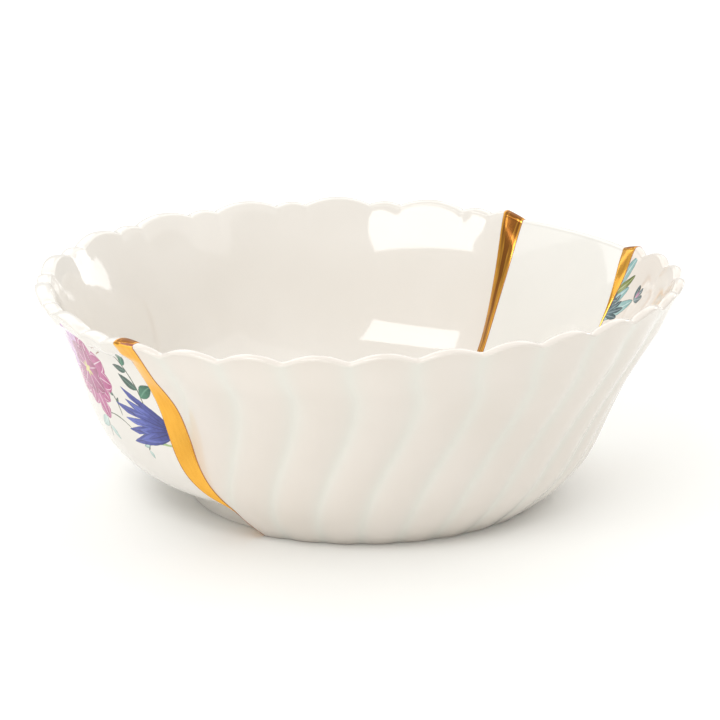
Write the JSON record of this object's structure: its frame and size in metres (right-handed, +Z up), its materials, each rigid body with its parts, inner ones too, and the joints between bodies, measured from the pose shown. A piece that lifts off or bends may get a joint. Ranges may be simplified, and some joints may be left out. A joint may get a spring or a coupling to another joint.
{
  "type": "kintsugi bowl",
  "caption": "Footed serving bowl of white glazed porcelain, put together from scalloped, plain and swirl-fluted shards with gold seams along the breaks, with painted flowers.",
  "frame": {"origin": "on the table under the middle of the bowl", "axes": "+Z up; the fluted shard faces -Y, the plain shard lies towards +X and +Y"},
  "size_m": [0.2025, 0.2027, 0.0728],
  "materials": {
    "porcelain_scalloped": "clear gloss glaze over white porcelain, flowers painted on the outside",
    "porcelain_plain": "clear gloss glaze over white porcelain",
    "porcelain_fluted": "clear gloss glaze over warm white porcelain, a spray painted on the inside",
    "gold": "polished gold laid over the seam"
  },
  "bodies": {
    "root": {"shard_scalloped": "porcelain_scalloped", "shard_plain": "porcelain_plain", "shard_fluted": "porcelain_fluted", "gold_seam": "gold"}
  },
  "joints": []
}
